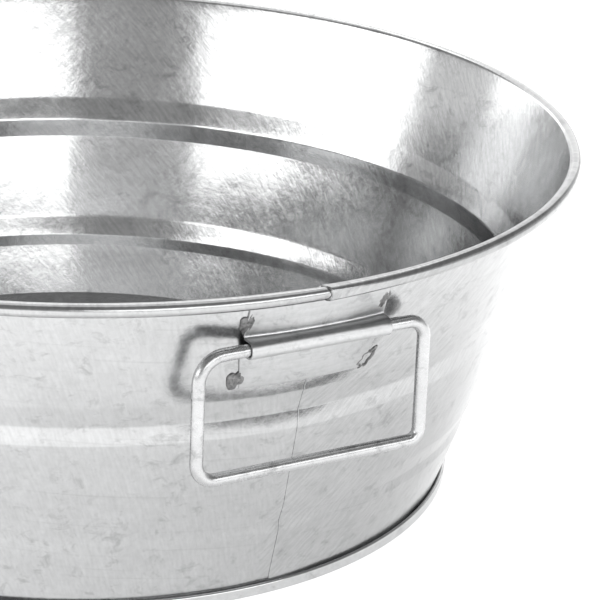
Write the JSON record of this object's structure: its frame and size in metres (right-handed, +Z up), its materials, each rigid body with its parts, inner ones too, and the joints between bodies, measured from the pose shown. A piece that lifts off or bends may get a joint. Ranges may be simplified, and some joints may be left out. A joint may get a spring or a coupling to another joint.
{
  "type": "oil drain pan",
  "caption": "Round galvanized steel drain pan with a leaning ridged wall, rolled rim, double-seamed bottom and two opposite drop handles of wire held in bent straps.",
  "frame": {"origin": "on the pan's axis, in the plane of the bottom seam that the pan stands on", "axes": "+Z up along the pan's axis, -Y towards the front handle, which lies over the side seam, +X to the right of someone facing that handle"},
  "size_m": [0.4173, 0.4174, 0.146],
  "materials": {
    "galvanized_wall": "bright galvanized sheet, faintly mottled and scratched",
    "galvanized_bottom": "bright galvanized sheet, faintly mottled",
    "plain_wire": "plain drawn wire, hidden in the rim",
    "galvanized_strap": "bright galvanized sheet with cut edges",
    "galvanized_wire": "bright smooth galvanized wire",
    "weld_metal": "dull dark weld metal"
  },
  "bodies": {
    "pan": {"body_wall": "galvanized_wall", "bottom_pan": "galvanized_bottom", "rim_wire": "plain_wire", "front_handle_strap": "galvanized_strap", "front_handle_welds": "weld_metal", "back_handle_strap": "galvanized_strap", "back_handle_welds": "weld_metal"},
    "front_handle": {"front_handle_bail": "galvanized_wire"},
    "back_handle": {"back_handle_bail": "galvanized_wire"}
  },
  "joints": [
    {"name": "front_handle_swing", "type": "hinge", "parent": "pan", "child": "front_handle", "pos_m": [0, -0.20013, 0.1235], "axis": [-1, 0, 0], "range_deg": [-16, 160]},
    {"name": "back_handle_swing", "type": "hinge", "parent": "pan", "child": "back_handle", "pos_m": [0, 0.20013, 0.1235], "axis": [1, 0, 0], "range_deg": [-16, 160]}
  ]
}
